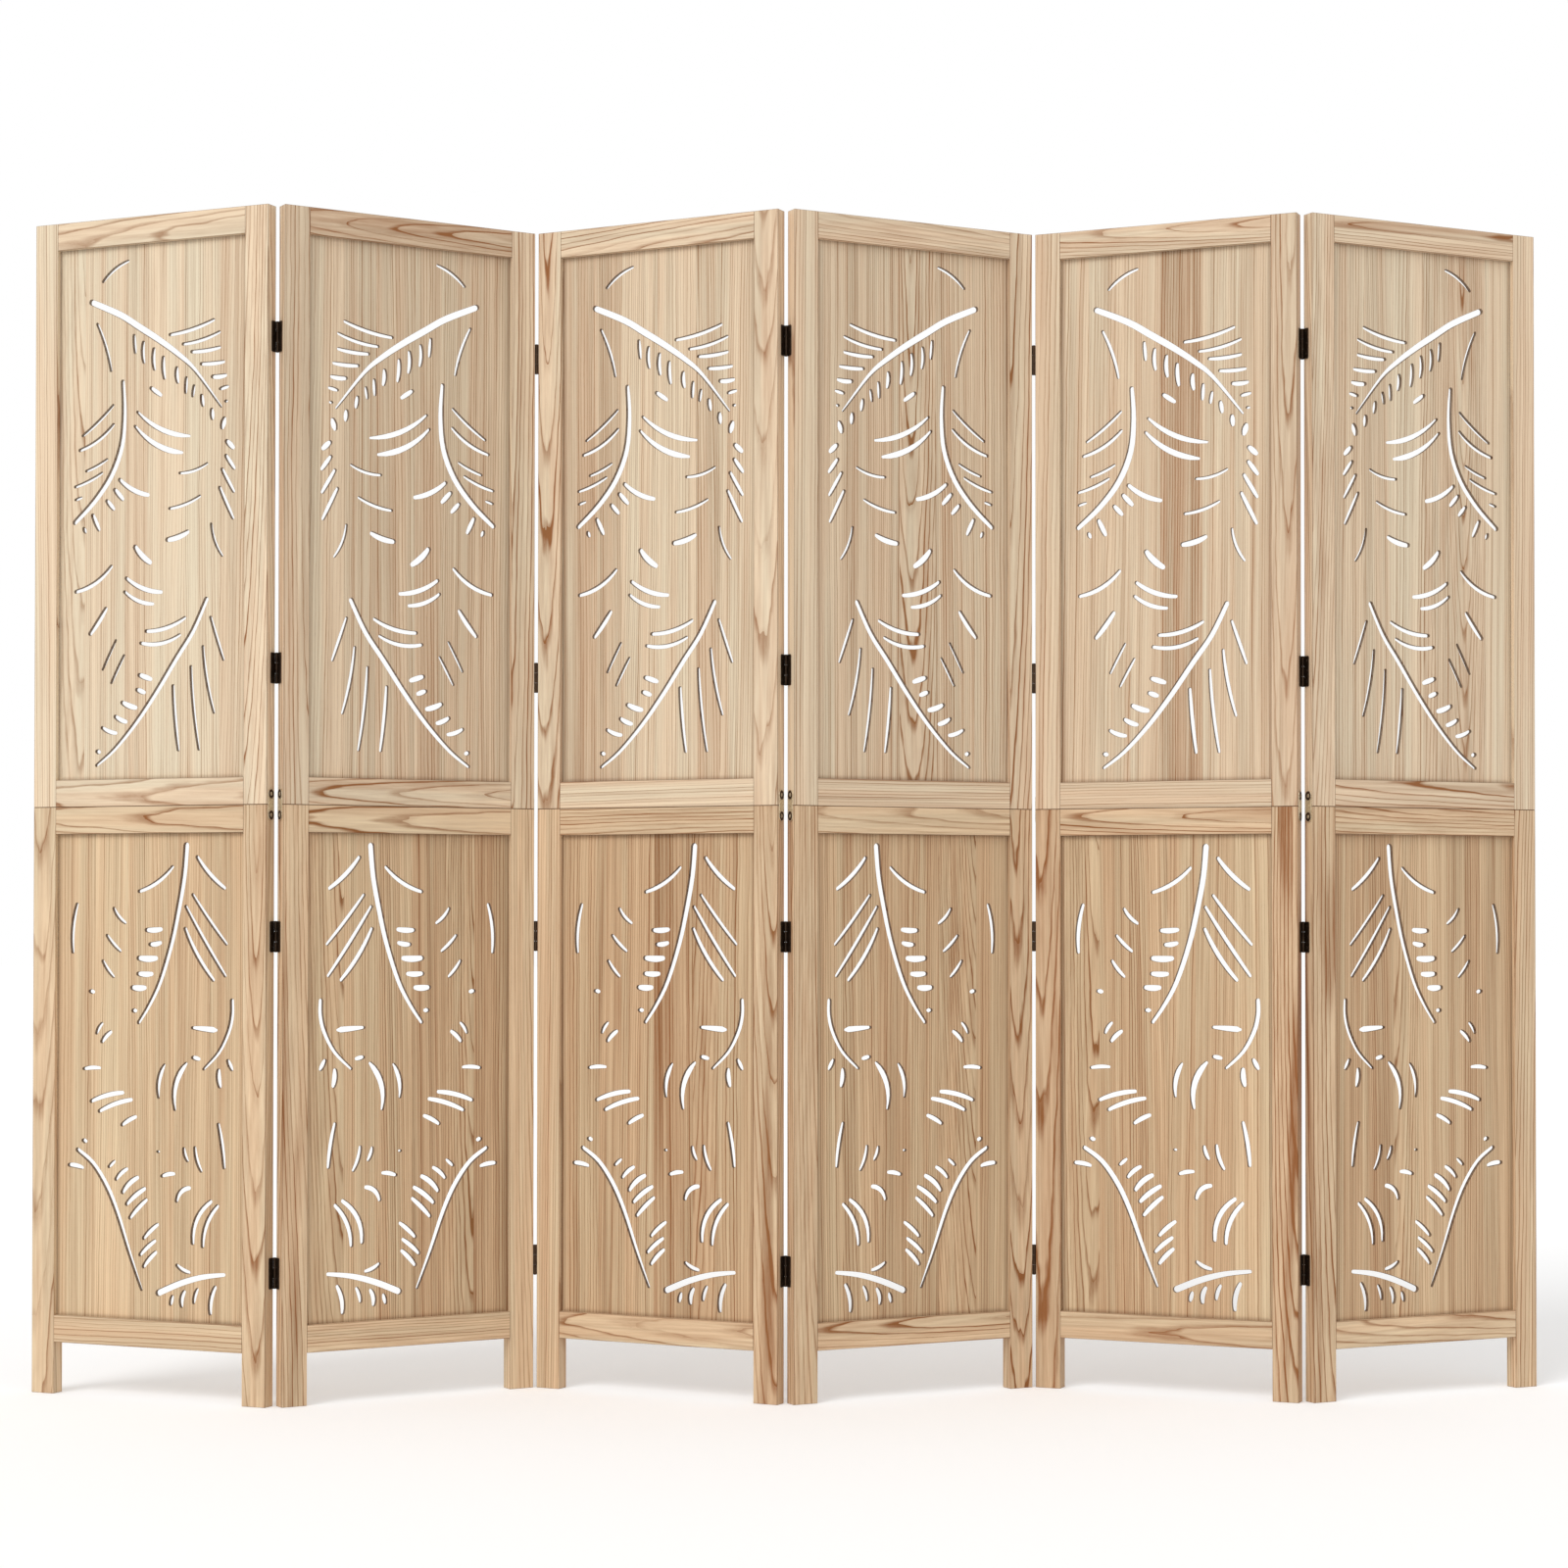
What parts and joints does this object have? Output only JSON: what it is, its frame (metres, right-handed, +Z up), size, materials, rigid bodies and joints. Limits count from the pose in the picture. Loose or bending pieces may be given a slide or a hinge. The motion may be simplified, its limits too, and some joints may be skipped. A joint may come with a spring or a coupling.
{
  "type": "folding screen",
  "caption": "Free-standing folding room divider of framed wooden panels, pierced with a leaf pattern and joined by butt hinges so that it stands in a zigzag or folds flat.",
  "frame": {"origin": "on the floor, in the middle of the area that the standing screen covers", "axes": "+X along the screen to the right, +Y to the back, +Z up"},
  "size_m": [2.2044, 0.243, 1.7],
  "materials": {
    "upper_frame_wood": "light natural wood, sanded, waxed satin",
    "lower_frame_wood": "light brown natural wood, sanded, waxed satin",
    "upper_board_wood": "light natural wood in narrow vertical strips, matt",
    "lower_board_wood": "light brown wood in narrow vertical strips, matt",
    "hinge_steel": "black oxide steel, satin",
    "zinc_plate": "bright zinc-plated steel"
  },
  "bodies": {
    "panel_1": {"panel_1_upper_frame": "upper_frame_wood", "panel_1_lower_frame": "lower_frame_wood", "panel_1_upper_board": "upper_board_wood", "panel_1_lower_board": "lower_board_wood", "panel_1_seam_plate_left": "zinc_plate", "panel_1_seam_plate_right": "zinc_plate"},
    "panel_2": {"panel_2_upper_frame": "upper_frame_wood", "panel_2_lower_frame": "lower_frame_wood", "panel_2_upper_board": "upper_board_wood", "panel_2_lower_board": "lower_board_wood", "panel_2_hinge_leaf_1": "hinge_steel", "panel_2_hinge_leaf_2": "hinge_steel", "panel_2_hinge_leaf_3": "hinge_steel", "panel_2_hinge_leaf_4": "hinge_steel", "panel_2_seam_plate_left": "zinc_plate", "panel_2_seam_plate_right": "zinc_plate"},
    "panel_3": {"panel_3_upper_frame": "upper_frame_wood", "panel_3_lower_frame": "lower_frame_wood", "panel_3_upper_board": "upper_board_wood", "panel_3_lower_board": "lower_board_wood", "panel_3_hinge_leaf_1": "hinge_steel", "panel_3_hinge_leaf_2": "hinge_steel", "panel_3_hinge_leaf_3": "hinge_steel", "panel_3_hinge_leaf_4": "hinge_steel", "panel_3_seam_plate_left": "zinc_plate", "panel_3_seam_plate_right": "zinc_plate"},
    "panel_4": {"panel_4_upper_frame": "upper_frame_wood", "panel_4_lower_frame": "lower_frame_wood", "panel_4_upper_board": "upper_board_wood", "panel_4_lower_board": "lower_board_wood", "panel_4_hinge_leaf_1": "hinge_steel", "panel_4_hinge_leaf_2": "hinge_steel", "panel_4_hinge_leaf_3": "hinge_steel", "panel_4_hinge_leaf_4": "hinge_steel", "panel_4_seam_plate_left": "zinc_plate", "panel_4_seam_plate_right": "zinc_plate"},
    "panel_5": {"panel_5_upper_frame": "upper_frame_wood", "panel_5_lower_frame": "lower_frame_wood", "panel_5_upper_board": "upper_board_wood", "panel_5_lower_board": "lower_board_wood", "panel_5_hinge_leaf_1": "hinge_steel", "panel_5_hinge_leaf_2": "hinge_steel", "panel_5_hinge_leaf_3": "hinge_steel", "panel_5_hinge_leaf_4": "hinge_steel", "panel_5_seam_plate_left": "zinc_plate", "panel_5_seam_plate_right": "zinc_plate"},
    "panel_6": {"panel_6_upper_frame": "upper_frame_wood", "panel_6_lower_frame": "lower_frame_wood", "panel_6_upper_board": "upper_board_wood", "panel_6_lower_board": "lower_board_wood", "panel_6_hinge_leaf_1": "hinge_steel", "panel_6_hinge_leaf_2": "hinge_steel", "panel_6_hinge_leaf_3": "hinge_steel", "panel_6_hinge_leaf_4": "hinge_steel", "panel_6_seam_plate_left": "zinc_plate", "panel_6_seam_plate_right": "zinc_plate"}
  },
  "joints": [
    {"name": "fold_1_2", "type": "hinge", "parent": "panel_2", "child": "panel_1", "pos_m": [-0.72813, -0.10219, 0.85], "axis": [0, 0, -1], "range_deg": [-54.1, 125.9]},
    {"name": "fold_2_3", "type": "hinge", "parent": "panel_3", "child": "panel_2", "pos_m": [-0.37412, 0.08392, 0.85], "axis": [0, 0, 1], "range_deg": [-57.3, 122.7]},
    {"name": "fold_3_4", "type": "hinge", "parent": "panel_3", "child": "panel_4", "pos_m": [-0.00605, -0.07256, 0.85], "axis": [0, 0, 1], "range_deg": [-53.4, 126.6]},
    {"name": "fold_4_5", "type": "hinge", "parent": "panel_4", "child": "panel_5", "pos_m": [0.35979, 0.08904, 0.85], "axis": [0, 0, -1], "range_deg": [-50.7, 129.3]},
    {"name": "fold_5_6", "type": "hinge", "parent": "panel_5", "child": "panel_6", "pos_m": [0.73482, -0.04992, 0.85], "axis": [0, 0, 1], "range_deg": [-49.3, 130.7]}
  ]
}
